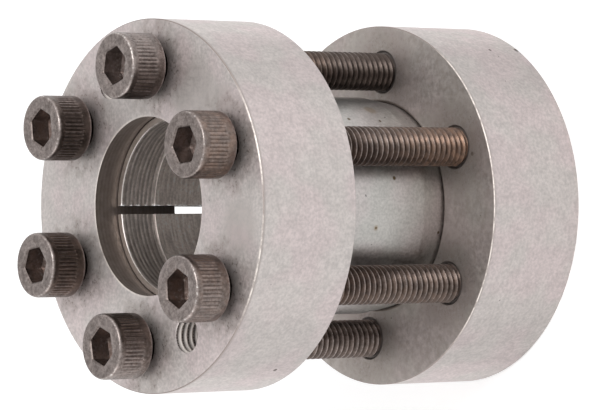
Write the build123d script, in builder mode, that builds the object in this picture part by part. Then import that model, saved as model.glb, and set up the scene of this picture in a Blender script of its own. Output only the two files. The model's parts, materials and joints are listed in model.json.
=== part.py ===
from build123d import *
from math import cos, isclose, radians, sin, tan
import os

# Rigid shaft locking assembly, in millimetres.
# The shaft axis is Z. The rear flange stands on Z = 0 and the screw heads point up.

# Shaft
shaft_diameter = 25.0

# Flanges
flange_diameter = 55.0
flange_thickness = 17.0
flange_gap = 26.4
rim_chamfer = 0.15
mouth_clearance = 0.65
cone_half_angle = 9.3
throat_chamfer = 0.25

# Screw places: the throat wall is the steel left between a cone's wide end and the screw threads
screw_count = 6
throat_wall = 1.566
first_screw_angle = -4.7
jack_hole_count = 2
jack_hole_offset = 31.7
jack_circle_excess = 0.6

# Sleeve
sleeve_recess = 4.5
cone_clearance = 0.10
band_setback = 4.2
slit_width = 1.2
slit_angle = 92.6
relief_depth = 6.1
relief_step = 0.25

# Cap screws, metric size 6
thread_diameter = 6.0
thread_clearance = 0.08
clearance_hole_diameter = 6.6
tapped_hole_chamfer = 0.3
screw_length = 60.0
head_standoff = 1.3
head_height = 6.0
head_diameter = 9.7
head_edge_chamfer = 0.35
key_width = 5.0
socket_depth = 3.2
socket_chamfer = 0.2
socket_turns = (48.5, 7.0, 39.0, 11.0, 4.0, 35.0)

# Values worked out from the driving dimensions
shaft_radius = shaft_diameter / 2
flange_radius = flange_diameter / 2
cone_slope = tan(radians(cone_half_angle))
mouth_radius = shaft_radius + mouth_clearance
throat_radius = mouth_radius + flange_thickness * cone_slope
bolt_circle_diameter = 2 * (throat_radius + throat_wall) + thread_diameter
bolt_circle_radius = bolt_circle_diameter / 2
jack_circle_diameter = bolt_circle_diameter + jack_circle_excess
front_inner_face = flange_thickness + flange_gap
front_outer_face = front_inner_face + flange_thickness
middle_height = front_outer_face / 2
sleeve_end_radius = mouth_radius + sleeve_recess * cone_slope - cone_clearance
band_radius = throat_radius - cone_clearance + band_setback * cone_slope
band_start = flange_thickness + band_setback
relief_radius = shaft_radius + relief_step
tapped_radius = thread_diameter / 2
screw_radius = tapped_radius - thread_clearance
head_base_height = front_outer_face + head_standoff
head_radius = head_diameter / 2

os.makedirs("parts", exist_ok=True)


def flange_section(outer_face, inner_face):
    """Half section of a flange, with the cone narrow at the outer face and wide at the inner one."""
    with BuildSketch(Plane.XZ) as section:
        with BuildLine():
            Polyline(
                (mouth_radius, outer_face),
                (flange_radius, outer_face),
                (flange_radius, inner_face),
                (throat_radius, inner_face),
                close=True,
            )
        make_face()
    return section.sketch


def circles(part, radius):
    """The circular edges of a part that have the given radius."""
    return part.edges().filter_by(GeomType.CIRCLE).filter_by(lambda edge: isclose(edge.radius, radius))


# Rear flange: six threads cut right through, drawn at their full diameter,
# with a chamfer where the screws enter
with BuildPart() as rear_flange:
    revolve(flange_section(0, flange_thickness), axis=Axis.Z)
    chamfer(circles(rear_flange, flange_radius), rim_chamfer)
    chamfer(circles(rear_flange, throat_radius), throat_chamfer)
    with BuildSketch():
        with PolarLocations(bolt_circle_radius, screw_count, start_angle=first_screw_angle):
            Circle(tapped_radius)
    extrude(amount=flange_thickness, mode=Mode.SUBTRACT)
    chamfer(circles(rear_flange, tapped_radius).group_by(Axis.Z)[-1], tapped_hole_chamfer)

rear_flange.part.label = "rear_flange"
export_step(rear_flange.part, "parts/rear_flange.step")

# Front flange: six clearance holes, and a pair of jack-off threads about halfway between screws
with BuildPart() as front_flange:
    revolve(flange_section(front_outer_face, front_inner_face), axis=Axis.Z)
    chamfer(circles(front_flange, flange_radius), rim_chamfer)
    chamfer(circles(front_flange, throat_radius), throat_chamfer)
    with BuildSketch(Plane.XY.offset(front_inner_face)):
        with PolarLocations(bolt_circle_radius, screw_count, start_angle=first_screw_angle):
            Circle(clearance_hole_diameter / 2)
    extrude(amount=flange_thickness, mode=Mode.SUBTRACT)
    with BuildSketch(Plane.XY.offset(front_inner_face)):
        with PolarLocations(
            jack_circle_diameter / 2, jack_hole_count, start_angle=first_screw_angle + jack_hole_offset
        ):
            Circle(tapped_radius)
    extrude(amount=flange_thickness, mode=Mode.SUBTRACT)

front_flange.part.label = "front_flange"
export_step(front_flange.part, "parts/front_flange.step")

# Taper sleeve: two cones meet a plain band, the bore is relieved at both ends,
# and one slit lets the sleeve close on the shaft
with BuildPart() as taper_sleeve:
    with BuildSketch(Plane.XZ):
        with BuildLine():
            Polyline(
                (relief_radius, sleeve_recess),
                (sleeve_end_radius, sleeve_recess),
                (band_radius, band_start),
                (band_radius, middle_height),
                (shaft_radius, middle_height),
                (shaft_radius, sleeve_recess + relief_depth),
                (relief_radius, sleeve_recess + relief_depth),
                close=True,
            )
        make_face()
    revolve(axis=Axis.Z)
    mirror(about=Plane.XY.offset(middle_height))
    slit_plane = Plane(origin=(0, 0, 0), x_dir=(cos(radians(slit_angle)), sin(radians(slit_angle)), 0))
    with BuildSketch(slit_plane):
        Rectangle(band_radius * 2, slit_width, align=(Align.MIN, Align.CENTER))
    extrude(amount=front_outer_face, mode=Mode.SUBTRACT)

taper_sleeve.part.label = "taper_sleeve"
export_step(taper_sleeve.part, "parts/taper_sleeve.step")


def screw_section(section_plane):
    """Half section of a cap screw, on a plane through its axis: the shank hangs below the head's seat."""
    with BuildSketch(section_plane) as section:
        with BuildLine():
            Polyline(
                (0, -screw_length),
                (screw_radius, -screw_length),
                (screw_radius, 0),
                (head_radius, 0),
                (head_radius, head_height - head_edge_chamfer),
                (head_radius - head_edge_chamfer, head_height),
                (0, head_height),
                close=True,
            )
        make_face()
    return section.sketch


# Cap screws: each stands in its own hole, with its socket turned as it was left
for index in range(screw_count):
    place = radians(first_screw_angle + index * 360 / screw_count)
    turn = radians(socket_turns[index % len(socket_turns)])
    seat = Plane(
        origin=(bolt_circle_radius * cos(place), bolt_circle_radius * sin(place), head_base_height),
        x_dir=(cos(turn), sin(turn), 0),
    )
    half_plane = Plane(origin=seat.origin, x_dir=seat.x_dir, z_dir=-seat.y_dir)
    with BuildPart() as clamp_screw:
        revolve(screw_section(half_plane), axis=Axis(seat.origin, (0, 0, 1)))
        with BuildSketch(seat.offset(head_height)):
            RegularPolygon(radius=key_width / 2, side_count=6, major_radius=False)
        extrude(amount=-socket_depth, mode=Mode.SUBTRACT)
        chamfer(clamp_screw.edges().filter_by(GeomType.LINE).group_by(Axis.Z)[-1], socket_chamfer)
    name = f"clamp_screw_{index + 1}"
    clamp_screw.part.label = name
    export_step(clamp_screw.part, f"parts/{name}.step")
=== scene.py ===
# %% [markdown]
# # A shaft locking assembly
# Two steel flanges with cone bores are drawn together by six cap screws, and so squeeze a slit
# sleeve onto a shaft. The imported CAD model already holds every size, so this lesson only adds the
# looks: real threads, knurled heads, turned rings, and the finish of each steel.

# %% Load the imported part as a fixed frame
import json
import math
from collections import namedtuple

import bmesh
import bpy
import numpy as np
from mathutils import Matrix, Vector


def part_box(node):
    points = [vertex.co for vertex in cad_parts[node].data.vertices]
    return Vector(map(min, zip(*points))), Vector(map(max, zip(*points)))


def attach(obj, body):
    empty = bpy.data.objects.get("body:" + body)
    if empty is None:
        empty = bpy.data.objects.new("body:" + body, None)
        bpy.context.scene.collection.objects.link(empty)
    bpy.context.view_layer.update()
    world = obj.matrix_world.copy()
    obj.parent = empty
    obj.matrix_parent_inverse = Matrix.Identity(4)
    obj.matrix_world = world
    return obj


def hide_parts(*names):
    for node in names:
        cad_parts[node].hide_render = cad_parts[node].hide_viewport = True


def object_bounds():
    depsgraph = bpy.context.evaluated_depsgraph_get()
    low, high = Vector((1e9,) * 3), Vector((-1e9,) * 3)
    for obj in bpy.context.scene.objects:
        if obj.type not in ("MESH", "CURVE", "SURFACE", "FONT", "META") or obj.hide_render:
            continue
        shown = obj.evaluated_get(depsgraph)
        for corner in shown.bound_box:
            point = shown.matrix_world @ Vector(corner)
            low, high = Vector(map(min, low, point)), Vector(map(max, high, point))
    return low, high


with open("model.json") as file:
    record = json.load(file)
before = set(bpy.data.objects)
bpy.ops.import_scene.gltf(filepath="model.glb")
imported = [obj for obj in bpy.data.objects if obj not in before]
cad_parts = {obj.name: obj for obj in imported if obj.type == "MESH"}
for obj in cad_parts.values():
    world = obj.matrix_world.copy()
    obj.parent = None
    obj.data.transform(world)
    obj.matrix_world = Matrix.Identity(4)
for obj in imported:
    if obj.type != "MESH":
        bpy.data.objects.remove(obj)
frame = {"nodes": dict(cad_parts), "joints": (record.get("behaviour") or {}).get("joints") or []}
cad_low, cad_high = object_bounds()
MM = 0.001
FULL_TURN = 2 * math.pi
print("CAD box in mm:", [round(v / MM, 2) for v in (*cad_low, *cad_high)])

# %% [markdown]
# ## Where things are
# Heights and places are read from the CAD nodes, so that a new pack moves the looks with it. They
# could be typed in again, but would soon disagree with the solids. Each screw's axis comes from its
# joint, and the way its socket is turned comes from the six corners of the socket's floor, which
# are the only points of that node between the seat and the head's face.

# %% Read heights and axes from the frame
rear_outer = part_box("rear_flange")[0].z
rear_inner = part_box("rear_flange")[1].z
front_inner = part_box("front_flange")[0].z
front_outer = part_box("front_flange")[1].z
sleeve_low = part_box("taper_sleeve")[0].z
sleeve_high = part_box("taper_sleeve")[1].z
screw_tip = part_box("clamp_screw_1")[0].z
head_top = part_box("clamp_screw_1")[1].z
screw_joints = [joint for joint in frame["joints"] if joint["child"].startswith("clamp_screw")]
first_x, first_y, head_base = screw_joints[0]["pos_m"]
screw_circle = math.hypot(first_x, first_y)
first_screw = math.atan2(first_y, first_x)
print("heads from", round(head_base / MM, 2), "to", round(head_top / MM, 2), "mm")
print("screws on a circle of radius", round(screw_circle / MM, 2), "mm")


# %% Read how each socket is turned
def node_points(node):
    """All vertices of a CAD node, as rows of x, y, z."""
    mesh = frame["nodes"][node].data
    points = np.empty(len(mesh.vertices) * 3)
    mesh.vertices.foreach_get("co", points)
    return points.reshape(-1, 3)


def socket_turn(joint):
    """The angle of one corner of a screw's socket, from the floor's corners inside the head."""
    points = node_points(joint["child"])
    inside = (points[:, 2] > head_base + 1 * MM) & (points[:, 2] < head_top - 2 * MM)
    corner = points[inside][0] - np.array(joint["pos_m"])
    return math.atan2(corner[1], corner[0]) % (FULL_TURN / 6)


socket_turns = {joint["child"]: socket_turn(joint) for joint in screw_joints}
print("socket corners in degrees:", [round(math.degrees(t), 1) for t in socket_turns.values()])

# %% [markdown]
# ## The camera
# A long lens, a little above the flanges' plane, lying on its side: the shaft axis runs towards the
# left of the picture. It could be set by eye, but the lens and the place were worked out once from
# the flange's outline, whose true size is known, so every edge lands where it should.

# %% Set the camera
lens_mm = 227.74
camera_place = Vector((0.95, -448.14, 389.63)) * MM
camera_target = Vector((0.11, 0.81, 31.21)) * MM
picture_up = Vector((1.0, -0.0002, -0.0026))

scene = bpy.context.scene
camera_data = bpy.data.cameras.new("camera")
camera_data.lens = lens_mm
camera_data.clip_start = 0.01
camera_data.clip_end = 20
camera = bpy.data.objects.new("camera", camera_data)
scene.collection.objects.link(camera)
back = (camera_place - camera_target).normalized()
right = picture_up.cross(back).normalized()
axes = Matrix((right, back.cross(right), back)).transposed().to_4x4()
camera.matrix_world = Matrix.Translation(camera_place) @ axes
scene.camera = camera
print("the camera is", round((camera_place - camera_target).length, 3), "m from the part")

# %% [markdown]
# ## Light
# The part stood in a light tent, so nearly everything it mirrors is white. Lamps and white cards
# all round would do that too, but a white world leaves no gaps. The camera and mirrored rays see it
# at full strength, and it lights dull surfaces a little less. One soft lamp above the heads gives
# the front edges their thin highlights, and a weaker one on each side fills the rims where they
# turn away from the camera.


# %% Two helpers for node trees
def add_node(tree, kind, inputs=None, **settings):
    """Adds a node with these settings. Each input is a plain value or another node's output."""
    made = tree.nodes.new(kind)
    for name, value in settings.items():
        setattr(made, name, value)
    for name, value in (inputs or {}).items():
        if isinstance(value, bpy.types.NodeSocket):
            tree.links.new(value, made.inputs[name])
        else:
            made.inputs[name].default_value = value
    return made


def math_node(tree, operation, first, second=0.0, third=0.0):
    """One arithmetic step. Each operand is another node's output or a number."""
    inputs = {0: first, 1: second, 2: third}
    return add_node(tree, "ShaderNodeMath", inputs, operation=operation).outputs[0]


print("made add_node and math_node")

# %% Light the scene
DULL_LIGHT = 0.85
MIRRORED_LIGHT = 1.0
WHITE = (1.0, 1.0, 1.0, 1.0)


def seen_directly(tree):
    """1 for rays from the camera, a mirror or glass, and 0 for light on dull surfaces."""
    path = add_node(tree, "ShaderNodeLightPath").outputs
    first = math_node(tree, "MAXIMUM", path["Is Camera Ray"], path["Is Glossy Ray"])
    return math_node(tree, "MAXIMUM", first, path["Is Transmission Ray"])


def mix_shaders(tree, share, first, second):
    """The first shader where share is 0, and the second where it is 1."""
    inputs = {0: share, 1: first.outputs[0], 2: second.outputs[0]}
    return add_node(tree, "ShaderNodeMixShader", inputs)


scene.view_settings.view_transform = "Standard"
world = bpy.data.worlds.new("light_tent")
scene.world = world
world.use_nodes = True
tree = world.node_tree
tree.nodes.clear()
dull = add_node(tree, "ShaderNodeBackground", {"Color": WHITE, "Strength": DULL_LIGHT})
mirrored = add_node(tree, "ShaderNodeBackground", {"Color": WHITE, "Strength": MIRRORED_LIGHT})
mixed = mix_shaders(tree, seen_directly(tree), dull, mirrored)
add_node(tree, "ShaderNodeOutputWorld", {"Surface": mixed.outputs[0]})


def add_soft_lamp(name, place, target, size, power):
    """A square area lamp at place, in metres, that faces target."""
    data = bpy.data.lights.new(name, "AREA")
    data.size = size
    data.energy = power
    lamp = bpy.data.objects.new(name, data)
    scene.collection.objects.link(lamp)
    lamp.location = place
    lamp.rotation_euler = (Vector(target) - Vector(place)).to_track_quat("-Z", "Y").to_euler()


middle = (cad_low + cad_high) / 2
add_soft_lamp("soft_key", (0.25, -0.30, 0.55), middle, size=0.25, power=1.2)
add_soft_lamp("low_fill", (-0.50, -0.06, 0.16), middle, size=0.30, power=0.45)
add_soft_lamp("high_fill", (0.50, -0.06, 0.16), middle, size=0.30, power=0.22)
print("a white world and", len(bpy.data.lights), "lamps")

# %% [markdown]
# ## The floor
# A plain white floor. An empty background would be simpler, but then nothing would show that the
# part stands on something. The floor stays white to the camera, and darkens only where the part
# keeps light off it. It lies a hundredth of a millimetre below the part, so that the two faces
# never coincide.

# %% Lay the floor
FLOOR_WHITE = (0.8, 0.8, 0.8, 1.0)
GLOW_TO_CAMERA = 0.36
GLOW_IN_MIRRORS = 0.19
floor_half = 1.5
floor_height = -0.01 * MM


def glowing(tree, paint, strength):
    """A paint that also gives off a little white light of its own."""
    glow = add_node(tree, "ShaderNodeEmission", {"Color": WHITE, "Strength": strength})
    return add_node(tree, "ShaderNodeAddShader", {0: paint.outputs[0], 1: glow.outputs[0]})


floor_mesh = bpy.data.meshes.new("floor")
signs = ((-1, -1), (1, -1), (1, 1), (-1, 1))
corners = [(x * floor_half, y * floor_half, floor_height) for x, y in signs]
floor_mesh.from_pydata(corners, [], [(0, 1, 2, 3)])
floor = bpy.data.objects.new("floor", floor_mesh)
scene.collection.objects.link(floor)
floor_paint = bpy.data.materials.new("white_floor")
floor_paint.use_nodes = True
tree = floor_paint.node_tree
tree.nodes.clear()
matt = add_node(tree, "ShaderNodeBsdfDiffuse", {"Color": FLOOR_WHITE})
not_to_camera = mix_shaders(tree, seen_directly(tree), matt, glowing(tree, matt, GLOW_IN_MIRRORS))
camera_ray = add_node(tree, "ShaderNodeLightPath").outputs["Is Camera Ray"]
mixed = mix_shaders(tree, camera_ray, not_to_camera, glowing(tree, matt, GLOW_TO_CAMERA))
add_node(tree, "ShaderNodeOutputMaterial", {"Surface": mixed.outputs[0]})
floor_mesh.materials.append(floor_paint)
print("the floor lies", -floor_height / MM, "mm below the part")

# %% [markdown]
# ## Reading a place on the steel
# Every finish below is worked out from Object coordinates. It could be painted on an image instead,
# but a place needs no unwrapping and leaves no seams. Each object sits at the origin, so these are
# real places in metres, and a mask can say: inside the cone bore, or close to a screw. A mask is a
# number from 0 to 1. Two masks are multiplied to find where both hold, and a mask mixes two
# colours. Noise seldom leaves the span from 0.3 to 0.7, so that span is spread over what a layer
# needs.


# %% Arithmetic with masks
def product(tree, first, *others):
    """Masks and numbers multiplied together."""
    for other in others:
        first = math_node(tree, "MULTIPLY", first, other)
    return first


def above(tree, value, limit):
    """1 where a value is over the limit."""
    return math_node(tree, "GREATER_THAN", value, limit)


def below(tree, value, limit):
    """1 where a value is under the limit."""
    return math_node(tree, "LESS_THAN", value, limit)


def gap_from(tree, value, level):
    """How far a value is from a level, on either side."""
    return math_node(tree, "ABSOLUTE", math_node(tree, "SUBTRACT", value, level))


def changed_by(tree, mask, change):
    """1 off the mask, and 1 + change on it: a factor for a colour."""
    return math_node(tree, "MULTIPLY_ADD", mask, change, 1.0)


def ramp(tree, source, low, high, low_value=0.0, high_value=1.0):
    """Maps source from the span low..high to low_value..high_value, smoothly, without overshoot."""
    span = {"From Min": low, "From Max": high, "To Min": low_value, "To Max": high_value}
    inputs = {"Value": source, **span}
    made = add_node(tree, "ShaderNodeMapRange", inputs, interpolation_type="SMOOTHSTEP")
    return made.outputs["Result"]


print("made product, above, below, gap_from, changed_by and ramp")

# %% Noise, and colours mixed by masks
NOISE_LOW = 0.3
NOISE_HIGH = 0.7


def noise(tree, place, size, detail=3.0, roughness=0.55):
    """Noise whose blobs are about size metres across."""
    inputs = {"Vector": place, "Scale": 1 / size, "Detail": detail, "Roughness": roughness}
    return add_node(tree, "ShaderNodeTexNoise", inputs).outputs["Fac"]


def spread(tree, noise_value, low_value, high_value):
    """Maps the span that noise fills to low_value..high_value."""
    return ramp(tree, noise_value, NOISE_LOW, NOISE_HIGH, low_value, high_value)


def rgba(colour, gain=1.0):
    """A colour as four numbers, brightened by gain."""
    return (colour[0] * gain, colour[1] * gain, colour[2] * gain, 1.0)


def blend_colours(tree, share, first, second, mode="MIX"):
    """Mixes two colours. share, first and second may each be a node's output or a plain value."""
    inputs = {0: share, 6: first, 7: second}
    return add_node(tree, "ShaderNodeMix", inputs, data_type="RGBA", blend_type=mode).outputs[2]


def shade(tree, colour, factor):
    """A colour multiplied by a factor."""
    return blend_colours(tree, 1.0, colour, factor, "MULTIPLY")


print("noise is spread from", NOISE_LOW, "to", NOISE_HIGH)

# %% Where the shading point is
Point = namedtuple("Point", "place x y z radius")


def length(tree, x, y):
    """The square root of x squared plus y squared."""
    squares = math_node(tree, "MULTIPLY_ADD", x, x, product(tree, y, y))
    return math_node(tree, "SQRT", squares)


def shading_point(tree):
    """The shading point in metres: whole, as x, y and z, and its distance from the shaft axis."""
    place = add_node(tree, "ShaderNodeTexCoord").outputs["Object"]
    x, y, z = add_node(tree, "ShaderNodeSeparateXYZ", {"Vector": place}).outputs
    return Point(place, x, y, z, length(tree, x, y))


def screw_distance(tree, at):
    """Distance from the nearest screw axis: the angle is folded into one sixth of a turn first."""
    angle = math_node(tree, "SUBTRACT", math_node(tree, "ARCTAN2", at.y, at.x), first_screw)
    folded = math_node(tree, "WRAP", angle, FULL_TURN / 12, -FULL_TURN / 12)
    outward = product(tree, at.radius, math_node(tree, "COSINE", folded))
    across = product(tree, at.radius, math_node(tree, "SINE", folded))
    return length(tree, math_node(tree, "SUBTRACT", outward, screw_circle), across)


def spots(tree, at, marks):
    """1 on any of the marks, each given as x, y, z and radius in mm, and 0 a little outside."""
    covered = 0.0
    for x, y, z, radius in marks:
        centre = (x * MM, y * MM, z * MM)
        gap = add_node(tree, "ShaderNodeVectorMath", {0: at.place, 1: centre}, operation="DISTANCE")
        here = ramp(tree, gap.outputs["Value"], radius * MM, radius * MM / 2)
        covered = math_node(tree, "MAXIMUM", here, covered)
    return covered


def attribute(tree, name):
    """The value of a named point attribute of the mesh, or 0 where it has none."""
    return add_node(tree, "ShaderNodeAttribute", attribute_name=name).outputs["Fac"]


print("a place is known by", ", ".join(Point._fields))


# %% The start and the end of a steel
def new_material(name):
    """An empty node material, its tree, and the shading point in it."""
    material = bpy.data.materials.new(name)
    material.use_nodes = True
    material.node_tree.nodes.clear()
    return material, material.node_tree, shading_point(material.node_tree)


def finish_metal(tree, base, rough, height, distance):
    """Ends a material: a metal with this colour and roughness, its relief taken from height."""
    relief = {"Height": height, "Strength": 1.0, "Distance": distance}
    bump = add_node(tree, "ShaderNodeBump", relief).outputs[0]
    inputs = {"Base Color": base, "Roughness": rough, "Normal": bump, "Metallic": 1.0}
    shader = add_node(tree, "ShaderNodeBsdfPrincipled", inputs)
    add_node(tree, "ShaderNodeOutputMaterial", {"Surface": shader.outputs[0]})


print("each steel starts with new_material and ends with finish_metal")

# %% [markdown]
# ## Bare machined steel
# The flanges and the sleeve are bare steel that has been handled and lightly oiled. Up close it is
# never one grey: a sandy grain, blotches a millimetre or two across, faint green and mauve clouds,
# and a few dark pits. One noise alone would look like stone, so each of these is a layer of noise
# at its own size.

# %% The grain that all bare steel shares
blotch_size = 1.9 * MM
cloud_size = 7 * MM
pit_size = 0.8 * MM
pit_gain = 0.35
green_tint = (0.965, 1.01, 0.99)


def steel_layers(tree, at, colour, grain_size, contrast, pit_limit):
    """Colour x (1 + grain) x (1 + blotches), with clouds and pits, and the grain itself."""
    grain = noise(tree, at.place, grain_size, detail=3, roughness=0.65)
    blotch = noise(tree, at.place, blotch_size, detail=2)
    clouds = noise(tree, at.place, cloud_size, detail=1)
    green = [part * tint for part, tint in zip(colour, green_tint)]
    base = blend_colours(tree, ramp(tree, clouds, 0.38, 0.62), rgba(colour), rgba(green))
    base = shade(tree, base, spread(tree, grain, 1 - contrast, 1 + contrast))
    base = shade(tree, base, ramp(tree, blotch, 0.32, 0.68, 0.96, 1.04))
    pits = ramp(tree, noise(tree, at.place, pit_size, detail=1), pit_limit, pit_limit + 0.02)
    return blend_colours(tree, pits, base, rgba(colour, pit_gain)), grain


print("blotches are", round(blotch_size / MM, 1), "mm across, clouds", round(cloud_size / MM, 1))

# %% [markdown]
# ## The flanges
# Both flanges share one finish. The inner face between them carries painted shade, and the cone
# bores and the faces round the screws carry painted shade with old oil; round the screws grit
# sticks to it. The rims' edges carry a painted highlight with a painted dark band beside it, and
# the rims and the front face carry painted light and shade. A clean machined part would be quicker
# to make, but the marks and smears show how it was used.

# %% Colours, sizes and marks of the flanges
flange_colour = (0.584, 0.520, 0.513)
# Oil for the marks and smears, and painted shade with oil in the bores and round the screws.
oil_and_shade_colour = (0.27, 0.225, 0.20)
# Painted shade on the inner face between the flanges.
inner_shade_colour = (0.27, 0.230, 0.187)
# A painted highlight for edges, the bore's mouth, the sleeve's end and cut crests.
painted_highlight = (0.85, 0.79, 0.74)
# Painted shade on and beside the rims' chamfers.
edge_shade = (0.33, 0.285, 0.265)
flange_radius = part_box("rear_flange")[1].x
rim_chamfer = 0.15 * MM
mouth_radius = 13.15 * MM
within = 0.02 * MM
flange_marks = (
    (23.8, -13.8, 0.3, 0.6), (23.7, -14.0, 5.9, 0.32),
    (-23.9, -13.6, 47.4, 0.4), (7.7, -22.5, 17.0, 0.4),
)
flange_smears = ((16.0, -11.5, 60.4, 7.0), (14.5, -17.5, 60.4, 4.0), (-3.0, -22.0, 60.4, 5.0))
print(len(flange_marks), "marks and", len(flange_smears), "smears on the flanges")


# %% Marked, smeared and shaded faces
def marked_and_shaded_faces(tree, at, base, grain, uneven):
    """Marks, smears, painted light on a front face lighter towards -x, and painted shade on the
    inner face.
    """
    base = blend_colours(tree, spots(tree, at, flange_marks), base, rgba(oil_and_shade_colour, 0.5))
    front_face = math_node(tree, "COMPARE", at.z, front_outer, within)
    # Painted light: the front face is painted lighter towards -x.
    painted_lightening = ramp(tree, at.x, -22 * MM, -4 * MM, 0.09, 0.0)
    base = shade(tree, base, changed_by(tree, front_face, painted_lightening))
    smears = product(tree, spots(tree, at, flange_smears), spread(tree, grain, 0.10, 0.28))
    base = blend_colours(tree, smears, base, rgba(oil_and_shade_colour))
    # Painted shade: the inner face between the flanges is painted darker, mottled.
    inner_face = math_node(tree, "COMPARE", at.z, rear_inner, within)
    inner_shade = product(tree, inner_face, spread(tree, uneven, 0.24, 0.48))
    return blend_colours(tree, inner_shade, base, rgba(inner_shade_colour))


def mouth_highlight(tree, at, base, uneven):
    """A painted highlight on the edge of the cone bore, broken up, and strongest towards +y."""
    edge = ramp(tree, at.radius, mouth_radius + 0.38 * MM, mouth_radius + 0.14 * MM)
    broken = ramp(tree, uneven, 0.35, 0.6, 0.6, 1.0)
    edge = product(tree, edge, broken, ramp(tree, at.y, -3 * MM, 8 * MM, 0.1, 1.0))
    return blend_colours(tree, edge, base, rgba(painted_highlight))


# The inner face at this height carries painted shade.
print("oily at", round(rear_inner / MM, 2), "mm and smeared at", round(front_outer / MM, 2), "mm")

# %% Rims with painted edge highlights and shade
front_turn = 0.24
smooth_middle = 1.0 * MM


def edge_highlight_share(tree, at, on_front, uneven):
    """Share of the painted edge highlight: towards -y, less low down, and not in one short stretch.
    """
    across = math_node(tree, "DIVIDE", at.y, at.radius)
    towards_side = math_node(tree, "MULTIPLY_ADD", on_front, front_turn, across)
    highlit = ramp(tree, towards_side, -0.48, -0.68)
    broken = ramp(tree, uneven, 0.38, 0.6, 0.25, 0.95)
    higher = ramp(tree, at.x, -21 * MM, -14 * MM, 0.35, 1.0)
    near = ramp(tree, gap_from(tree, at.x, smooth_middle), 1.8 * MM, 3.0 * MM, 0.9, 0.0)
    kept = math_node(tree, "SUBTRACT", 1.0, product(tree, on_front, near))
    return product(tree, highlit, broken, higher, kept)


def rim_highlight_and_shade(tree, at, base, uneven):
    """Painted highlight and shade on chamfers and rims, a painted dark band, and a painted bright
    lip.
    """
    on_front = above(tree, at.z, front_inner)
    on_rim = above(tree, at.radius, flange_radius - within)
    highlit = edge_highlight_share(tree, at, on_front, uneven)
    past_face = above(tree, at.radius, flange_radius - rim_chamfer + 0.01 * MM)
    chamfer = product(tree, past_face, below(tree, at.radius, flange_radius - within))
    # Painted highlight on the chamfer where it faces -y, painted shade on the rest of it.
    line = blend_colours(tree, highlit, rgba(edge_shade), rgba(painted_highlight))
    base = blend_colours(tree, chamfer, base, line)
    # Painted sheen and shade: rims darker where |x| is 13 to 20 mm and lighter beyond 23 mm.
    off_middle = math_node(tree, "ABSOLUTE", at.x)
    darkened = ramp(tree, off_middle, 13 * MM, 20 * MM, 0.0, -0.09)
    brighter = ramp(tree, off_middle, 23 * MM, 26 * MM, 0.0, 0.15)
    change = math_node(tree, "ADD", darkened, brighter)
    base = shade(tree, base, changed_by(tree, on_rim, change))
    # Painted shade: a dark band on the rim beside the chamfer.
    from_faces = (gap_from(tree, at.z, front_outer), gap_from(tree, at.z, rear_inner))
    from_edge = math_node(tree, "MINIMUM", *from_faces)
    band = ramp(tree, from_edge, 0.60 * MM, 0.20 * MM, 0.0, 0.55)
    band = product(tree, band, on_rim, math_node(tree, "MAXIMUM", highlit, on_front))
    base = blend_colours(tree, band, base, rgba(edge_shade))
    # Painted highlight: a bright lip on the front face beside its edge.
    lip = ramp(tree, at.radius, flange_radius - 0.36 * MM, flange_radius - 0.18 * MM, 0.0, 0.8)
    lip = product(tree, lip, below(tree, from_edge, within), highlit, on_front)
    return blend_colours(tree, lip, base, rgba(painted_highlight))


print("rims of", round(flange_radius / MM, 2), "mm radius")

# %% Oil, painted shade and grit round the screws
oil_shade_from = 4.6 * MM
oil_shade_to = 8.0 * MM
grit_to = 6.8 * MM
oil_shade_share = 0.58
ragged = 1.6 * MM
hole_edge = 3.35 * MM
hole_softness = 0.06 * MM


def oil_and_shade_round_screws(tree, at, base, grain, uneven, from_screw):
    """Painted shade with oil fading out from each screw, and grit in it, less on the rear flange.
    """
    edge = math_node(tree, "ADD", from_screw, spread(tree, uneven, -ragged, ragged))
    off_rim = below(tree, at.radius, flange_radius - 0.1 * MM)
    # Painted shade round the screws, with oil in it: darkest close to each head.
    oil_and_shade = ramp(tree, edge, oil_shade_from, oil_shade_to, oil_shade_share, 0.0)
    oil_and_shade = product(tree, oil_and_shade, spread(tree, grain, 0.3, 1.0), off_rim)
    base = blend_colours(tree, oil_and_shade, base, rgba(oil_and_shade_colour))
    grit = ramp(tree, noise(tree, at.place, 0.50 * MM, detail=3, roughness=0.7), 0.54, 0.64)
    rear_less = ramp(tree, at.z, rear_inner, front_outer, 0.4, 1.0)
    near = ramp(tree, edge, oil_shade_from, grit_to, oil_shade_share, 0.0)
    grit = product(tree, grit, near, off_rim, rear_less)
    return blend_colours(tree, grit, base, rgba(oil_and_shade_colour, 0.5))


def hole_shade_and_highlight(tree, base, from_screw):
    """Painted shade at each hole's edge and in cut threads' roots, a painted highlight on their
    crests.
    """
    hole = ramp(tree, from_screw, hole_edge + hole_softness, hole_edge - hole_softness, 0.0, 0.6)
    hole_shade = math_node(tree, "MAXIMUM", hole, attribute(tree, "groove"))
    base = blend_colours(tree, hole_shade, base, rgba(oil_and_shade_colour, 0.4))
    return blend_colours(tree, attribute(tree, "crest"), base, rgba(painted_highlight))


# Painted shade and oil fade out this far from each screw's axis.
print("oil fades out", round(oil_shade_to / MM, 1), "mm from each screw's axis")

# %% The cone bores
cone_limit = 16.3 * MM
ring_spacing = 0.75 * MM
ring_relief = 0.5


def bore_rings(tree, at):
    """1 inside the cone bores, and the turned rings there: sine of height x full turn / spacing."""
    under_face = below(tree, at.z, front_outer - within)
    over_face = above(tree, at.z, rear_outer + within)
    inside = product(tree, below(tree, at.radius, cone_limit), under_face, over_face)
    return inside, math_node(tree, "SINE", product(tree, at.z, FULL_TURN / ring_spacing))


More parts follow.
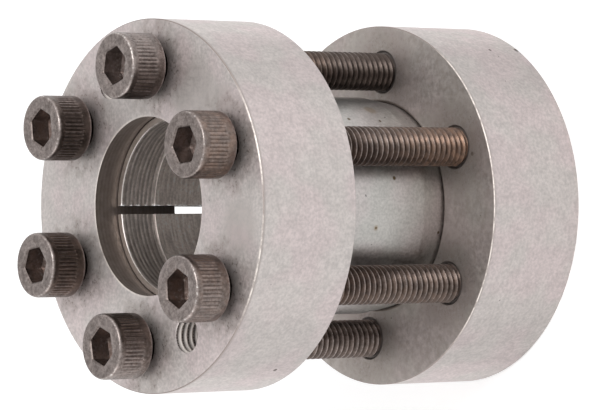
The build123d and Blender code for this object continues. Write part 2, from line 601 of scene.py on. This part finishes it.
def oil_and_shade_in_bores(tree, at, base, inside, rings, uneven):
    """Painted shade with oil in the cone bores, a little weaker on the rings' tops, darker towards
    +y.
    """
    thicker = ramp(tree, at.y, 2 * MM, 12 * MM, 1.0, 1.08)
    mottled = product(tree, spread(tree, uneven, 0.90, 1.06), thicker)
    oil_and_shade = product(tree, inside, mottled, ramp(tree, rings, -1.0, 1.0, 0.84, 0.93))
    return blend_colours(tree, oil_and_shade, base, rgba(oil_and_shade_colour))


print("the cone bores have a ring every", round(ring_spacing / MM, 2), "mm")

# %% The whole finish of a flange
def flange_finish():
    """Machined steel: marks, smears, painted light and shade, and oil with painted shade in bores.
    """
    material, tree, at = new_material("flange_steel")
    base, grain = steel_layers(
        tree, at, flange_colour, grain_size=0.48 * MM, contrast=0.13, pit_limit=0.80
    )
    uneven = noise(tree, at.place, 1.3 * MM, detail=3)
    from_screw = screw_distance(tree, at)
    inside, rings = bore_rings(tree, at)
    base = marked_and_shaded_faces(tree, at, base, grain, uneven)
    base = mouth_highlight(tree, at, base, uneven)
    base = rim_highlight_and_shade(tree, at, base, uneven)
    base = oil_and_shade_round_screws(tree, at, base, grain, uneven, from_screw)
    base = oil_and_shade_in_bores(tree, at, base, inside, rings, uneven)
    base = hole_shade_and_highlight(tree, base, from_screw)
    rough = spread(tree, grain, 0.54, 0.66)
    height = math_node(tree, "MULTIPLY_ADD", product(tree, rings, inside), ring_relief, grain)
    finish_metal(tree, base, rough, height, distance=0.006 * MM)
    return material


flange_steel = flange_finish()
for node in ("rear_flange", "front_flange"):
    frame["nodes"][node].data.materials.clear()
    frame["nodes"][node].data.materials.append(flange_steel)
print("the flanges' steel has", len(flange_steel.node_tree.nodes), "nodes")

# %% [markdown]
# ## Surfaces from grids
# Every new piece is worked out as whole arrays: a radius and a height for each step round the axis
# and each step along the profile. Pieces could be modelled by hand or cut with Booleans, but a
# formula makes every copy alike and leaves no stray faces. The grid's points go into the mesh,
# neighbours become faces, and points that fall together are merged, which closes seams and poles.


# %% Turn a grid into faces
def grid_faces(ids, wrap=False):
    """Quads between neighbours in a grid of vertex numbers. wrap joins last column and first."""
    if wrap:
        ids = np.concatenate([ids, ids[:, :1]], axis=1)
    quads = np.stack([ids[:-1, :-1], ids[:-1, 1:], ids[1:, 1:], ids[1:, :-1]], axis=-1)
    return quads.reshape(-1, 4)


def round_grid(radius, height, angle):
    """Points at a radius and height for every angle: x = r cos a, y = r sin a, z = h."""
    radius, height, angle = np.broadcast_arrays(radius, height, angle)
    return np.stack([radius * np.cos(angle), radius * np.sin(angle), height], axis=-1)


def round_angles(steps):
    """One row of equally spaced angles, from 0 to just under a full turn."""
    return (np.arange(steps) / steps * FULL_TURN)[None, :]


def joined(*parts):
    """One array of rows from several grids of points."""
    return np.concatenate([part.reshape(-1, 3) for part in parts])


def placed(points, turn, place):
    """Points turned by an angle about their own Z axis, then moved to place."""
    x, y, z = points.T
    cosine, sine = math.cos(turn), math.sin(turn)
    turned = np.stack([x * cosine - y * sine, x * sine + y * cosine, z], axis=1)
    return turned + np.array(place)


print("a grid of 3 by 3 points has", len(grid_faces(np.arange(9).reshape(3, 3))), "faces")

# %% Build a piece from points and faces
SMOOTH_BELOW = math.radians(32)
MERGE_WITHIN = 1e-7


def build_piece(name, points, faces, body, material, attributes):
    """Makes a closed, outward-facing mesh that rides on a body, with its named point attributes."""
    mesh = bpy.data.meshes.new(name)
    mesh.from_pydata(points.reshape(-1, 3).tolist(), [], faces)
    for label, values in attributes.items():
        mesh.attributes.new(label, "FLOAT", "POINT").data.foreach_set("value", values.ravel())
    shape = bmesh.new()
    shape.from_mesh(mesh)
    bmesh.ops.remove_doubles(shape, verts=shape.verts, dist=MERGE_WITHIN)
    bmesh.ops.recalc_face_normals(shape, faces=shape.faces)
    shape.to_mesh(mesh)
    open_edges = sum(not edge.is_manifold for edge in shape.edges)
    shape.free()
    mesh.shade_smooth()
    mesh.set_sharp_from_angle(angle=SMOOTH_BELOW)
    mesh.materials.append(material)
    piece = bpy.data.objects.new(name, mesh)
    scene.collection.objects.link(piece)
    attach(piece, body)
    print(name, "has", len(mesh.polygons), "faces and", open_edges, "open edges")
    return piece


print("edges under", round(math.degrees(SMOOTH_BELOW)), "degrees are shaded smooth")

# %% [markdown]
# ## Screw threads
# A metric thread is a ridge wound round a core. A Screw modifier could wind it too, but this ridge
# has to fade out at the shank and stop at a flat tip, which a formula does in the same grid. The
# height at a point depends only on u = z / lead - angle / full turn, which says how many turns the
# point lies from the ridge's middle. The rows of the grid climb with the ridge, so each row follows
# one line of the thread and the crest stays sharp. Past one turn a row meets the row one pitch
# above it, which is how the seam is sewn.

# %% The form of a metric thread
ROUND_STEPS = 51
lead = 1.0 * MM
thread_steps = np.array([-0.5, -0.40, -0.34, -0.12, -0.06, 0.06, 0.12, 0.34, 0.40])
ridge_turns = [0.0, 0.06, 0.12, 0.34, 0.40, 0.5]
ridge_heights = [1.0, 1.0, 0.90, 0.10, 0.0, 0.0]


def ridge_height(turns):
    """0 at the root and 1 on the crest: straight flanks, a flat crest and a wider flat root."""
    off_middle = np.abs((turns + 0.5) % 1.0 - 0.5)
    return np.interp(off_middle, ridge_turns, ridge_heights)


def thread_grid(low, high):
    """Angles, heights and turns of a grid from low to high, whose rows climb with the ridge."""
    angle = round_angles(ROUND_STEPS)
    pitches = int(math.ceil((high - low) / lead)) + 3
    start = math.floor(low / lead) - 1
    turns = start + (np.arange(pitches)[:, None] + thread_steps[None, :]).ravel()[:, None]
    height = lead * (turns + angle / FULL_TURN)
    return angle, np.clip(height, low, high), np.broadcast_to(turns, height.shape)


def thread_faces(rows):
    """Quads of a climbing grid, sewn at the seam to the rows one pitch up."""
    ids = np.arange(rows * ROUND_STEPS).reshape(rows, ROUND_STEPS)
    shift = len(thread_steps)
    seam = np.stack([ids[:-shift, -1], ids[shift:, 0]], axis=1)
    return np.concatenate([grid_faces(ids), grid_faces(seam)])


def ring_ids(first, rings=2):
    """Vertex numbers of rings of ROUND_STEPS points that follow each other from number first on."""
    return first + np.arange(rings * ROUND_STEPS).reshape(rings, ROUND_STEPS)


print("one pitch has", len(thread_steps), "rows of", ROUND_STEPS, "points")

# %% [markdown]
# ## The cap screws
# Each is one closed surface, from the middle of its tip up the thread and shank, out under the
# head, over the knurl, and down into the hexagon socket. Thread and head could be pieces of their
# own, but one surface has no join to hide. The knurl is 51 straight ridges rolled into the head's
# side, with broad tops and narrow grooves, and each gets six columns of the grid.

# %% Sizes of a size 6 cap screw
crest_radius = 2.92 * MM
root_radius = 2.36 * MM
tip_radius = 2.25 * MM
shank_radius = 2.95 * MM
thread_length = 40 * MM
runout_turns = 1.3
head_radius = 4.85 * MM
socket_reach = 2.5 * MM
socket_mouth_reach = 2.70 * MM
knurl_count = 51
knurl_depth = 0.14 * MM
knurl_breadth = 0.45
knurl_wear = 0.25
knurl_dirt = 0.05
ridge_tones = np.random.default_rng(6).uniform(0.3, 1.7, knurl_count)
head_steps = knurl_count * 6


def hexagon(reach, angle, power=26):
    """Radius of a hexagon with flats at reach: reach / (sum of cosine ^ power) ^ (1 / power)."""
    sides = angle[..., None] - (np.arange(6) + 0.5) * FULL_TURN / 6
    total = (np.clip(np.cos(sides), 0, None) ** power).sum(axis=-1)
    return reach / total ** (1 / power)


def knurl_wave(angle):
    """(half + half of cos(count x angle)) ^ breadth: broad tops at 1 and narrow grooves at 0."""
    return (0.5 + 0.5 * np.cos(knurl_count * angle)) ** knurl_breadth


corner_reach = hexagon(socket_reach, np.array([0.0]))[0]
print("a socket reaches", round(corner_reach / MM, 2), "mm at its corners")


# %% The head's profile
def head_profile():
    """Rows from seat to socket: radius, height, knurl, hexagon, wear and shading, side, rust
    shares.
    """
    side = head_radius / MM
    reach = socket_reach / MM
    mouth = socket_mouth_reach / MM
    return np.array([
        (side - 0.26, 0.0, 0, 0, 0.2, 1, 0),
        (side - 0.20, 0.02, 0, 0, 0.7, 1, 0),
        (side - 0.03, 0.20, 0, 0, 1.1, 1, 0),
        (side, 0.30, 0, 0, 0.6, 1, 0),
        (side, 0.50, 0, 0, 0.1, 1, 0),
        (side, 1.50, 0, 0, 0.1, 1, 0),
        (side, 1.66, 1, 0, 0.1, 1, 0),
        (side, 2.8, 1, 0, 0.1, 1, 0),
        (side, 4.0, 1, 0, 0.1, 1, 0),
        (side, 4.80, 1, 0, 0.12, 1, 0),
        (side, 4.95, 0, 0, 0.12, 1, 0),
        (side - 0.01, 5.40, 0, 0, 0.15, 0.9, 0),
        # Round the face's edge: worn, with a painted highlight on top.
        (side - 0.05, 5.66, 0, 0, 0.4, 0.6, 0),
        (side - 0.12, 5.82, 0, 0, 0.95, 0.4, 0),
        (side - 0.20, 5.91, 0, 0, 1.18, 0.2, 0),
        (side - 0.30, 5.98, 0, 0, 0.78, 0.1, 0),
        (side - 0.42, 6.0, 0, 0, 0.66, 0, 0),
        (3.7, 6.0, 0, 0, 0.60, 0, 0),
        (mouth + 0.06, 6.0, 0, 1, 0.7, 0, 0),
        (mouth, 5.98, 0, 1, 0.55, 0, 0),
        (reach + 0.01, 5.76, 0, 1, 0.5, 0, 0.1),
        # The socket's walls and floor: painted light, set high to paint them lighter than their
        # shade.
        (reach, 4.6, 0, 1, 0.95, 0, 0.4),
        (reach, 2.8, 0, 1, 1.06, 0, 0.2),
        (1.2, 2.5, 0, 0, 1.05, 0, 0.05),
        (0.0, 2.2, 0, 0, 0.6, 0, 0.3),
    ])


def head_grid():
    """Points of the head, its wear and painted shading, side share and rust. The first row is its
    seat.
    """
    angle = round_angles(head_steps)
    columns = (column[:, None] for column in head_profile().T)
    radius, height, knurl, hexed, wear, side, rust = columns
    wave = knurl_wave(angle)
    cut = radius - knurl * knurl_depth / MM * (1 - wave)
    radius = np.where(hexed > 0, hexagon(radius, angle), cut) * MM
    ridge = np.round(angle * knurl_count / FULL_TURN).astype(int) % knurl_count
    wear = wear + knurl * (knurl_wear * wave ** 2 * ridge_tones[ridge] - knurl_dirt)
    points = round_grid(radius, height * MM, angle)
    return points, *(np.broadcast_to(share, points.shape[:2]) for share in (wear, side, rust))


print("a head has", len(head_profile()), "rows of", head_steps, "points")

# %% One screw from tip to socket
root_wear = 0.16
# Crests are worn, with a painted highlight on them.
crest_wear_and_sheen = 0.75
shank_wear = 0.1


def screw_surface():
    """Points, faces, wear and shading, side share and rust of a screw whose head stands on z = 0.
    """
    low = screw_tip - head_base
    high = low + thread_length
    angle, height, turns = thread_grid(low, high)
    ridge = ridge_height(turns)
    fade = np.clip((high - height) / (runout_turns * lead), 0, 1)
    cut = root_radius + (crest_radius - root_radius) * ridge
    cut = shank_radius + (cut - shank_radius) * fade
    thread = round_grid(np.minimum(cut, tip_radius + (height - low)), height, angle)
    tip = round_grid(np.array([[0.0], [tip_radius]]), low, angle)
    neck = round_grid(shank_radius, np.array([[high], [0.0]]), angle)
    head, head_wear_and_shading, head_side, head_rust = head_grid()
    rows = len(thread)
    tip_ids = ring_ids(rows * ROUND_STEPS)
    neck_ids = ring_ids((rows + 2) * ROUND_STEPS)
    head_ids = (rows + 4) * ROUND_STEPS + np.arange(head[..., 0].size).reshape(head.shape[:2])
    ring = np.repeat(neck_ids[1], head_steps // ROUND_STEPS)
    under = head_ids[0]
    fan = np.stack([ring, np.roll(ring, -1), np.roll(under, -1), under], axis=1)
    wrapped = [grid_faces(ids, wrap=True) for ids in (tip_ids, neck_ids, head_ids)]
    faces = np.concatenate([thread_faces(rows), *wrapped]).tolist()
    faces += [tuple(dict.fromkeys(face)) for face in fan.tolist()]
    thread_wear_and_sheen = root_wear + crest_wear_and_sheen * ridge ** 10 * fade
    plain = np.zeros(4 * ROUND_STEPS)
    wear = np.concatenate([thread_wear_and_sheen.ravel(), plain + shank_wear, head_wear_and_shading.ravel()])
    below_head = np.zeros(rows * ROUND_STEPS + len(plain))
    side = np.concatenate([below_head, head_side.ravel()])
    rust = np.concatenate([below_head, head_rust.ravel()])
    return joined(thread, tip, neck, head), faces, wear, side, rust


screw_points, screw_faces, screw_wear_and_shading, screw_side, screw_rust = screw_surface()
print("a screw has", len(screw_points), "points")

# %% [markdown]
# ## Blackened steel
# The screws were blackened, then handled. Where fingers and keys rub, on the face, the rims and the
# crests of thread and knurl, the black wears to grey, and at the sharpest edges to bare steel, with
# a painted highlight on the face's edge and the crests. The shape's curvature could drive this, but
# the same attribute also carries painted shade on the sides that face the shaft and on the threads'
# lower sides, and painted light on the sockets' walls and floors. A trace of rust tints most sides
# and sockets, and two threads have gathered more of it near a flange.

# %% The finish of the screws
black_colour = (0.080, 0.062, 0.054)
# Worn grey, and also painted light in the sockets.
worn_and_lit_colour = (0.30, 0.257, 0.242)
# Bare steel at the sharpest worn edges, with a painted glint on them.
bare_and_glint_colour = (0.60, 0.56, 0.53)
rust_colour = (0.212, 0.131, 0.092)
worn_at = 1.05
bare_from = 1.15
bare_at = 1.6


def screw_finish():
    """Black oxide that wear and painted light turn grey and then bare, and that rust turns brown.
    """
    material, tree, at = new_material("black_steel")
    grain = noise(tree, at.place, 0.45 * MM, detail=3, roughness=0.7)
    blotch = noise(tree, at.place, 1.2 * MM, detail=2)
    patchy = ramp(tree, grain, 0.25, 0.75, 0.5, 1.45)
    wear = product(tree, attribute(tree, "wear"), patchy)
    worn_and_lit = ramp(tree, wear, 0.0, worn_at)
    base = blend_colours(tree, worn_and_lit, rgba(black_colour), rgba(worn_and_lit_colour))
    rust = product(tree, attribute(tree, "rust"), spread(tree, blotch, 0.5, 1.3))
    base = blend_colours(tree, rust, base, rgba(rust_colour))
    base = shade(tree, base, spread(tree, blotch, 0.84, 1.16))
    base = blend_colours(tree, ramp(tree, wear, bare_from, bare_at), base, rgba(bare_and_glint_colour))
    finish_metal(tree, base, spread(tree, grain, 0.30, 0.44), grain, distance=0.008 * MM)
    return material


black_steel = screw_finish()
print("the screws' steel has", len(black_steel.node_tree.nodes), "nodes")

# %% [markdown]
# ## Six screws, each worn its own way
# All six share one shape, which is turned and moved to its place. What differs is how much each
# part of a screw was rubbed and how much it rusted. Six materials could hold that, but it is easier
# to keep as one number for each screw, from the topmost in the picture and on round by the left,
# which goes into the mesh for one material to read.

# %% Wear, painted shade and rust of each screw
thread_polish = (0.34, 1.0, 1.0, 1.25, 0.90, 0.72)
face_polish = (1.05, 1.0, 1.0, 0.97, 1.05, 0.92)
side_polish = (0.68, 0.57, 0.54, 0.66, 0.40, 0.44)
side_rust = (0.02, 0.03, 0.14, 0.08, 0.18, 0.34)
thread_rust = (0.0, 0.0, 0.0, 0.10, 0.18, 0.12)
socket_rust = (0.05, 0.9, 0.9, 0.9, 1.3, 0.5)
rear_end_rust = (0.0, 0.0, 0.0, 0.0, 0.0, 0.60)
front_end_rust = (0.24, 0.0, 0.0, 0.0, 0.0, 0.0)
rear_rust_heights = (33 * MM, 16 * MM)
front_rust_heights = (28 * MM, 34 * MM)
shaded_side = 0.45
flank_lit = 0.45
least_lit = 0.12


def share_between(height, start, end):
    """(height - start) / (end - start), kept between 0 and 1."""
    return np.clip((height - start) / (end - start), 0, 1)


def wear_shading_and_rust(index, points, axis_place):
    """Wear with painted shade, and rust: shares x own numbers, darker facing the shaft and low on
    threads.
    """
    off_axis = points[:, :2] - np.array(axis_place[:2])
    distance = np.maximum(np.hypot(*off_axis.T), 1e-9)
    outward = np.array(axis_place[:2]) / screw_circle
    facing_out = off_axis @ outward / distance
    low_side = np.clip(-off_axis[:, 0] / distance, 0, 1)
    height = points[:, 2]
    on_thread = height < head_base
    # Painted shade: the thread's lower side is painted darker.
    thread = thread_polish[index] * (1 - shaded_side * low_side)
    # Painted shade: the sides that face the shaft get less wear, so they are painted darker.
    lit_share = flank_lit + (1 - flank_lit) * facing_out
    wear = screw_wear_and_shading * np.where(on_thread, thread, face_polish[index])
    wear = wear + screw_side * side_polish[index] * np.clip(lit_share, least_lit, 1)
    rust = screw_rust * socket_rust[index] + screw_side * side_rust[index]
    rust = rust + on_thread * thread_rust[index]
    rust = rust + rear_end_rust[index] * share_between(height, *rear_rust_heights)
    rust = rust + front_end_rust[index] * share_between(height, *front_rust_heights) * on_thread
    return {"wear": wear, "rust": rust}


print("the most rubbed thread is that of screw", 1 + thread_polish.index(max(thread_polish)))

# %% Place the six screws
for index, joint in enumerate(screw_joints):
    name = joint["child"]
    points = placed(screw_points, socket_turns[name], joint["pos_m"])
    shares = wear_shading_and_rust(index, points, joint["pos_m"])
    piece = build_piece(
        f"{name}_detailed", points, screw_faces, name, black_steel, shares
    )
    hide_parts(name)

# %% [markdown]
# ## The taper sleeve
# The sleeve is a closed section carried round the axis, from one face of the slit to the other. A
# Boolean could cut the slit out of a whole ring, but carried this way its faces come out clean.
# Each radius starts at its own angle, asin(half slit / radius), so both faces of the slit are flat
# and parallel, as a saw leaves them. Both ends of the bore were turned out a little wider, with a
# pointed tool that left rings about three quarters of a millimetre apart.

# %% Sizes of the sleeve
bore_radius = 12.5 * MM
relief_radius = 12.75 * MM
relief_depth = 6.1 * MM
end_radius = 13.787 * MM
band_radius = 16.522 * MM
band_low = 21.2 * MM
slit_half = 0.6 * MM
slit_angle = math.radians(92.6)
ring_pitch = 0.76 * MM
ring_depth = 0.07 * MM
ring_rise = 0.3
inner_edge = 0.07 * MM
outer_edge = 0.12 * MM
sleeve_steps = 180
sleeve_half = (sleeve_high - sleeve_low) / 2
band_level = band_low - sleeve_low
print("the sleeve is", round(2 * sleeve_half / MM, 2), "mm long")


# %% The section of the sleeve
def relief_rings(distance):
    """Radius at a distance from the end face: a saw wave with a short rise and a long fall."""
    phase = (distance / ring_pitch) % 1.0
    wave = np.where(phase < ring_rise, phase / ring_rise, (1 - phase) / (1 - ring_rise))
    return relief_radius - ring_depth * wave


def sleeve_levels():
    """Heights above the sleeve's end face at which the section is drawn, up to its middle."""
    in_ring = ring_pitch * np.array([[0.0, 0.5 * ring_rise, ring_rise, 0.65]])
    rings = (np.arange(0, relief_depth, ring_pitch)[:, None] + in_ring).ravel()
    rings = rings[(rings > inner_edge + 0.03 * MM) & (rings < relief_depth - 0.06 * MM)]
    step = [relief_depth - 0.05 * MM, relief_depth, relief_depth + 0.05 * MM]
    plain = np.linspace(relief_depth + 1.5 * MM, band_level - 0.4 * MM, 6)
    band = [band_level, band_level + 0.2 * MM, sleeve_half]
    levels = np.concatenate([[0, outer_edge, inner_edge], step, rings, plain, band])
    return np.unique(np.round(levels, 8))


def sleeve_section():
    """Outer and inner radius at every height, mirrored about the sleeve's middle."""
    level = sleeve_levels()
    cone_radii = [end_radius - outer_edge, end_radius + 0.02 * MM, band_radius]
    outer = np.interp(level, [0, outer_edge, band_level], cone_radii)
    inner = np.where(level < relief_depth, relief_rings(level), bore_radius)
    inner = np.maximum(inner, relief_radius + inner_edge - level)
    height = np.concatenate([sleeve_low + level, (sleeve_high - level)[::-1][1:]])
    outer = np.concatenate([outer, outer[::-1][1:]])
    inner = np.concatenate([inner, inner[::-1][1:]])
    return height, outer, inner


print("its section has", 2 * len(sleeve_section()[0]), "points")

# %% Carry the section round from slit face to slit face
# Painted shade in the corner at the step where the relief ends.
step_shade = 0.25
end_margin = 0.01 * MM


def sleeve_surface():
    """The section swept round the axis: points, faces, and the shares of bore and groove."""
    height, outer, inner = sleeve_section()
    half = len(height)
    loop_radius = np.concatenate([outer, inner[::-1]])[:, None]
    loop_height = np.concatenate([height, height[::-1]])[:, None]
    start = np.arcsin(slit_half / loop_radius)
    share = np.linspace(0, 1, sleeve_steps + 1)[None, :]
    angle = slit_angle + start + share * (FULL_TURN - 2 * start)
    points = round_grid(loop_radius, loop_height, angle)
    ids = np.arange(points[..., 0].size).reshape(points.shape[:2])
    swept = grid_faces(np.concatenate([ids, ids[:1]]))
    walls = [np.stack([ids[:half, end], ids[:half - 1:-1, end]], axis=1) for end in (0, -1)]
    faces = np.concatenate([swept, *(grid_faces(wall) for wall in walls)])
    bore = np.zeros(points.shape[:2])
    bore[half:] = 1
    from_end = np.minimum(loop_height - sleeve_low, sleeve_high - loop_height)
    depth = np.clip((loop_radius - (relief_radius - ring_depth)) / ring_depth, 0, 1)
    at_step = step_shade * (from_end < relief_depth + end_margin)
    groove = bore * np.where(from_end < relief_depth - end_margin, depth, at_step)
    return points, faces.tolist(), {"bore": bore, "groove": groove}


sleeve_points, sleeve_faces, sleeve_shares = sleeve_surface()
print("the section is carried round in", sleeve_steps, "steps")

# %% [markdown]
# ## The sleeve's finish
# The outside is the same handled steel as the flanges, a little greener, with a few pits and rust
# stains. The bore is painted far lighter than the outside, as painted light, and its turned grooves
# darker, as painted shade with old oil. The saw left ragged burrs along one edge of the slit, which
# get a painted white glint; the slit's faces are painted near black as painted shade, and the end
# face in the flange's mouth gets a painted highlight. The bore could have a material of its own,
# but an attribute that marks it lets one material serve the whole sleeve.

# %% Colours and marks of the sleeve
sleeve_colour = (0.520, 0.487, 0.475)
# Painted light: the bore is painted far lighter than the same steel outside.
bore_painted_lighter = (0.95, 0.893, 0.858)
# Painted shade with old oil in the bore's turned grooves.
groove_colour = (0.27, 0.24, 0.225)
# Painted shade: the slit's faces are painted near black.
slit_shade_colour = (0.05, 0.04, 0.035)
stain_colour = (0.34, 0.25, 0.15)
sleeve_pits = (
    (12.93, -10.28, 30.7, 0.35), (12.69, -10.57, 24.9, 0.3), (4.11, -16.0, 26.7, 0.4),
    (-4.06, -15.40, 17.6, 0.3), (-3.3, -16.19, 30.4, 0.25),
)
sleeve_stains = ((-3.3, -16.19, 30.4, 0.55), (14.39, -8.11, 24.8, 1.3))
print(len(sleeve_pits), "pits and", len(sleeve_stains), "stains on the sleeve")

# %% The bore and the slit
streak_stretch = (0.12, 0.12, 1.0)
burr_height = 10.0


def turned_bore(tree, at, grain):
    """Bore steel painted far lighter, with streaks, darker towards -x in its ends, shaded grooves.
    """
    stretched = {0: at.place, 1: streak_stretch}
    around = add_node(tree, "ShaderNodeVectorMath", stretched, operation="MULTIPLY").outputs[0]
    streaks = noise(tree, around, 0.5 * MM, detail=2)
    base = shade(tree, rgba(bore_painted_lighter), spread(tree, grain, 0.84, 1.12))
    base = shade(tree, base, spread(tree, streaks, 0.76, 1.16))
    in_relief = above(tree, at.z, sleeve_high - relief_depth)
    darkened = ramp(tree, at.x, -9 * MM, -1 * MM, -0.22, 0.0)
    base = shade(tree, base, changed_by(tree, in_relief, darkened))
    lower_more = ramp(tree, at.x, -9 * MM, 0.0, 0.90, 0.64)
    patchy = spread(tree, noise(tree, at.place, 1.1 * MM, detail=3), 0.78, 1.22)
    # Painted shade with oil in the grooves, more of it towards -x.
    oil_and_shade = product(tree, attribute(tree, "groove"), lower_more, patchy)
    return blend_colours(tree, oil_and_shade, base, rgba(groove_colour))


def slit_shade_and_burr_glints(tree, at):
    """1 on the slit's faces, painted as shade, and 1 on the ragged burrs by one of its edges in the
    bore.
    """
    cosine, sine = math.cos(slit_angle), math.sin(slit_angle)
    along = math_node(tree, "MULTIPLY_ADD", at.x, cosine, product(tree, at.y, sine))
    aside = math_node(tree, "MULTIPLY_ADD", at.x, -sine, product(tree, at.y, cosine))
    ahead = above(tree, along, 0.0)
    thin = below(tree, math_node(tree, "ABSOLUTE", aside), slit_half + 0.02 * MM)
    ragged_edge = ramp(tree, noise(tree, at.place, 0.7 * MM, detail=2), 0.46, 0.54)
    beside = ramp(tree, aside, -slit_half - 0.40 * MM, -slit_half - 0.05 * MM)
    one_edge = below(tree, aside, 0.0)
    burrs_and_glints = product(tree, beside, attribute(tree, "bore"), ahead, one_edge, ragged_edge)
    return product(tree, thin, ahead), burrs_and_glints


print("the slit is", round(2 * slit_half / MM, 2), "mm wide")

# %% The whole finish of the sleeve
def sleeve_finish():
    """Bare turned steel with pits and stains, painted light in the bore, highlights, and a shaded
    slit.
    """
    material, tree, at = new_material("sleeve_steel")
    base, grain = steel_layers(
        tree, at, sleeve_colour, grain_size=0.40 * MM, contrast=0.14, pit_limit=0.765
    )
    stains = product(tree, spots(tree, at, sleeve_stains), 0.5)
    base = blend_colours(tree, stains, base, rgba(stain_colour))
    base = blend_colours(tree, spots(tree, at, sleeve_pits), base, rgba(stain_colour, 0.4))
    base = blend_colours(tree, attribute(tree, "bore"), base, turned_bore(tree, at, grain))
    # Painted highlight on the end face in the flange's mouth.
    end_face = math_node(tree, "COMPARE", at.z, sleeve_high, 0.03 * MM)
    highlit = product(tree, end_face, spread(tree, grain, 0.7, 1.0))
    base = blend_colours(tree, highlit, base, rgba(painted_highlight))
    slit, burrs_and_glints = slit_shade_and_burr_glints(tree, at)
    # Real burrs in the bump, with a painted white glint on them.
    base = blend_colours(tree, burrs_and_glints, base, WHITE)
    # Painted shade: the slit's faces painted near black.
    base = blend_colours(tree, slit, base, rgba(slit_shade_colour))
    rough = math_node(tree, "MAXIMUM", spread(tree, grain, 0.34, 0.48), burrs_and_glints)
    height = math_node(tree, "MULTIPLY_ADD", burrs_and_glints, burr_height, grain)
    finish_metal(tree, base, rough, height, distance=0.008 * MM)
    return material


sleeve_steel = sleeve_finish()
sleeve = build_piece(
    "taper_sleeve_turned", sleeve_points, sleeve_faces,
    "taper_sleeve", sleeve_steel, sleeve_shares,
)
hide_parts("taper_sleeve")

# %% [markdown]
# ## Threads in the flanges
# The rear flange's six holes and the front flange's two jack-off holes are tapped. CAD draws them
# plain, at their full width. Threads could be cut into the flanges' own meshes, but those are the
# CAD model's and stay as they are, so each hole gets a thin liner with the ridge on its inner side.
# In the rear flange the ridge stands where the screw's groove is, and stays there as the screw
# turns and sinks, because one turn moves it by exactly one lead.

# %% A thread cut in a hole
hole_radius = 3.0 * MM
ridge_radius = 2.50 * MM
liner_wall = 0.03 * MM
end_break = 0.18 * MM
ridge_play = 0.06
unmarked_end = 0.1 * MM
most_root_shade = 0.75


def liner_surface(low, high):
    """Points, faces, groove and crest shares of a liner: ridge inside, plain outside, flat ends."""
    angle, height, turns = thread_grid(low, high)
    ridge = np.clip(ridge_height(turns + 0.5) - ridge_play, 0, 1)
    inner = hole_radius - (hole_radius - ridge_radius) * ridge
    liner_mouth = ridge_radius + end_break
    inner = np.maximum(inner, liner_mouth - np.minimum(height - low, high - height))
    inner = np.where((height > low) & (height < high), inner, liner_mouth)
    thread = round_grid(inner, height, angle)
    ends_at = np.array([[low], [high]])
    rim = round_grid(liner_mouth, ends_at, angle)
    outside = round_grid(hole_radius + liner_wall, ends_at, angle)
    rows = len(thread)
    rim_ids = ring_ids(rows * ROUND_STEPS)
    outside_ids = ring_ids((rows + 2) * ROUND_STEPS)
    ends = np.stack([rim_ids[0], outside_ids[0], outside_ids[1], rim_ids[1]])
    faces = np.concatenate([thread_faces(rows), grid_faces(ends, wrap=True)])
    inside = (height > low + unmarked_end) & (height < high - unmarked_end)
    plain = np.zeros(4 * ROUND_STEPS)
    # Painted shade in the roots and a painted highlight on the crests.
    in_roots = inside * np.clip(1.1 - 1.5 * ridge, 0, most_root_shade)
    on_crests = inside * np.clip(1.6 * ridge - 0.5, 0, 1)
    groove = np.concatenate([in_roots.ravel(), plain])
    crest = np.concatenate([on_crests.ravel(), plain])
    return joined(thread, rim, outside), faces, groove, crest


print("a cut ridge is", round((hole_radius - ridge_radius) / MM, 2), "mm high")

# %% Line the tapped holes
hole_chamfer = 0.3 * MM
hidden_gap = 0.01 * MM
face_gap = 0.002 * MM
jack_turns = (31.7, 211.7)
jack_circle = 20.8 * MM


def add_liners(name, places, low, high, body):
    """One piece with a liner from low to high at every place, which is an x, a y and a turn."""
    points, faces, groove, crest = liner_surface(low - head_base, high - head_base)
    shells = [placed(points, turn, (x, y, head_base)) for x, y, turn in places]
    numbers = np.concatenate([faces + index * len(points) for index in range(len(places))])
    shares = {"groove": np.tile(groove, len(places)), "crest": np.tile(crest, len(places))}
    build_piece(
        name, np.concatenate(shells), numbers.tolist(), body, flange_steel, shares
    )


screw_places = [(*joint["pos_m"][:2], socket_turns[joint["child"]]) for joint in screw_joints]
jack_angles = [first_screw + math.radians(turn) for turn in jack_turns]
jack_places = [(jack_circle * math.cos(a), jack_circle * math.sin(a), 0.0) for a in jack_angles]
add_liners(
    "clamp_threads", screw_places, rear_outer + hidden_gap, rear_inner - hole_chamfer, "rear_flange"
)
add_liners(
    "jack_threads", jack_places, front_inner + hidden_gap, front_outer - face_gap, "front_flange"
)
